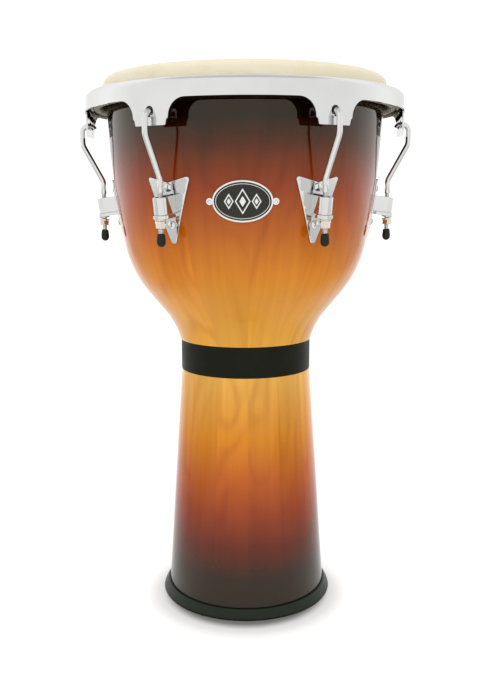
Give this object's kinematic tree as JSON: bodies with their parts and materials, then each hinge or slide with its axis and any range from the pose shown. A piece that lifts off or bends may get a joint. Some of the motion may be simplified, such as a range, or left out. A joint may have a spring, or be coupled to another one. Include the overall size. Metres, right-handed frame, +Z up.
{
  "type": "djembe",
  "caption": "Goblet hand drum with a staved wooden shell, a rawhide head and a hooked counterhoop that tuning rods and nuts draw down.",
  "frame": {"origin": "on the floor under the drum, at the shell's axis", "axes": "+Z up along the shell's axis to the head, -Y towards the badge, +X along lug 1"},
  "size_m": [0.3852, 0.364, 0.6155],
  "materials": {
    "lacquered_wood": "gloss",
    "rawhide": "matte",
    "chrome": "polished",
    "plated_steel": "satin",
    "plain_steel": "satin",
    "badge_metal": "polished",
    "band_rubber": "satin",
    "foot_rubber": "satin",
    "cap_rubber": "satin"
  },
  "bodies": {
    "shell": {"bowl_staves": "lacquered_wood", "stem_staves": "lacquered_wood", "neck_band": "band_rubber", "foot_bumper": "foot_rubber", "drum_skin": "rawhide", "badge": "badge_metal", "badge_pins": "chrome", "lug_bolt_washers": "plain_steel", "lug_bolt_nuts": "plain_steel", "nut_washer_1": "plated_steel", "lug_bracket_1": "chrome", "lug_plate_1": "chrome", "lug_bolts_1": "chrome", "nut_washer_2": "plated_steel", "lug_bracket_2": "chrome", "lug_plate_2": "chrome", "lug_bolts_2": "chrome", "nut_washer_3": "plated_steel", "lug_bracket_3": "chrome", "lug_plate_3": "chrome", "lug_bolts_3": "chrome", "nut_washer_4": "plated_steel", "lug_bracket_4": "chrome", "lug_plate_4": "chrome", "lug_bolts_4": "chrome", "nut_washer_5": "plated_steel", "lug_bracket_5": "chrome", "lug_plate_5": "chrome", "lug_bolts_5": "chrome", "nut_washer_6": "plated_steel", "lug_bracket_6": "chrome", "lug_plate_6": "chrome", "lug_bolts_6": "chrome"},
    "rim": {"tuning_rim": "chrome", "flesh_hoop": "plain_steel"},
    "hook_1": {"tuning_hook_1": "chrome", "hook_cap_1": "cap_rubber"},
    "nut_1": {"tuning_nut_1": "plated_steel"},
    "hook_2": {"tuning_hook_2": "chrome", "hook_cap_2": "cap_rubber"},
    "nut_2": {"tuning_nut_2": "plated_steel"},
    "hook_3": {"tuning_hook_3": "chrome", "hook_cap_3": "cap_rubber"},
    "nut_3": {"tuning_nut_3": "plated_steel"},
    "hook_4": {"tuning_hook_4": "chrome", "hook_cap_4": "cap_rubber"},
    "nut_4": {"tuning_nut_4": "plated_steel"},
    "hook_5": {"tuning_hook_5": "chrome", "hook_cap_5": "cap_rubber"},
    "nut_5": {"tuning_nut_5": "plated_steel"},
    "hook_6": {"tuning_hook_6": "chrome", "hook_cap_6": "cap_rubber"},
    "nut_6": {"tuning_nut_6": "plated_steel"}
  },
  "joints": [
    {"name": "rim_draw", "type": "slide", "parent": "shell", "child": "rim", "axis": [0, 0, -1], "range_m": [-0.004, 0.006], "deforming": ["drum_skin"]},
    {"name": "hook_draw_1", "type": "slide", "parent": "shell", "child": "hook_1", "axis": [0, 0, -1], "range_m": [-0.004, 0.006]},
    {"name": "nut_turn_1", "type": "hinge", "parent": "shell", "child": "nut_1", "pos_m": [0.1667, 0, 0.455], "axis": [0, 0, 1], "range_deg": [-1140, 1710]},
    {"name": "hook_draw_2", "type": "slide", "parent": "shell", "child": "hook_2", "axis": [0, 0, -1], "range_m": [-0.004, 0.006]},
    {"name": "nut_turn_2", "type": "hinge", "parent": "shell", "child": "nut_2", "pos_m": [0.08335, 0.14437, 0.455], "axis": [0, 0, 1], "range_deg": [-1140, 1710]},
    {"name": "hook_draw_3", "type": "slide", "parent": "shell", "child": "hook_3", "axis": [0, 0, -1], "range_m": [-0.004, 0.006]},
    {"name": "nut_turn_3", "type": "hinge", "parent": "shell", "child": "nut_3", "pos_m": [-0.08335, 0.14437, 0.455], "axis": [0, 0, 1], "range_deg": [-1140, 1710]},
    {"name": "hook_draw_4", "type": "slide", "parent": "shell", "child": "hook_4", "axis": [0, 0, -1], "range_m": [-0.004, 0.006]},
    {"name": "nut_turn_4", "type": "hinge", "parent": "shell", "child": "nut_4", "pos_m": [-0.1667, 0, 0.455], "axis": [0, 0, 1], "range_deg": [-1140, 1710]},
    {"name": "hook_draw_5", "type": "slide", "parent": "shell", "child": "hook_5", "axis": [0, 0, -1], "range_m": [-0.004, 0.006]},
    {"name": "nut_turn_5", "type": "hinge", "parent": "shell", "child": "nut_5", "pos_m": [-0.08335, -0.14437, 0.455], "axis": [0, 0, 1], "range_deg": [-1140, 1710]},
    {"name": "hook_draw_6", "type": "slide", "parent": "shell", "child": "hook_6", "axis": [0, 0, -1], "range_m": [-0.004, 0.006]},
    {"name": "nut_turn_6", "type": "hinge", "parent": "shell", "child": "nut_6", "pos_m": [0.08335, -0.14437, 0.455], "axis": [0, 0, 1], "range_deg": [-1140, 1710]}
  ],
  "couplings": [
    {"joint": "hook_draw_1", "follows": "rim_draw", "ratio": 1},
    {"joint": "nut_turn_1", "follows": "rim_draw", "rad_per_m": 4947.4},
    {"joint": "hook_draw_2", "follows": "rim_draw", "ratio": 1},
    {"joint": "nut_turn_2", "follows": "rim_draw", "rad_per_m": 4947.4},
    {"joint": "hook_draw_3", "follows": "rim_draw", "ratio": 1},
    {"joint": "nut_turn_3", "follows": "rim_draw", "rad_per_m": 4947.4},
    {"joint": "hook_draw_4", "follows": "rim_draw", "ratio": 1},
    {"joint": "nut_turn_4", "follows": "rim_draw", "rad_per_m": 4947.4},
    {"joint": "hook_draw_5", "follows": "rim_draw", "ratio": 1},
    {"joint": "nut_turn_5", "follows": "rim_draw", "rad_per_m": 4947.4},
    {"joint": "hook_draw_6", "follows": "rim_draw", "ratio": 1},
    {"joint": "nut_turn_6", "follows": "rim_draw", "rad_per_m": 4947.4}
  ]
}
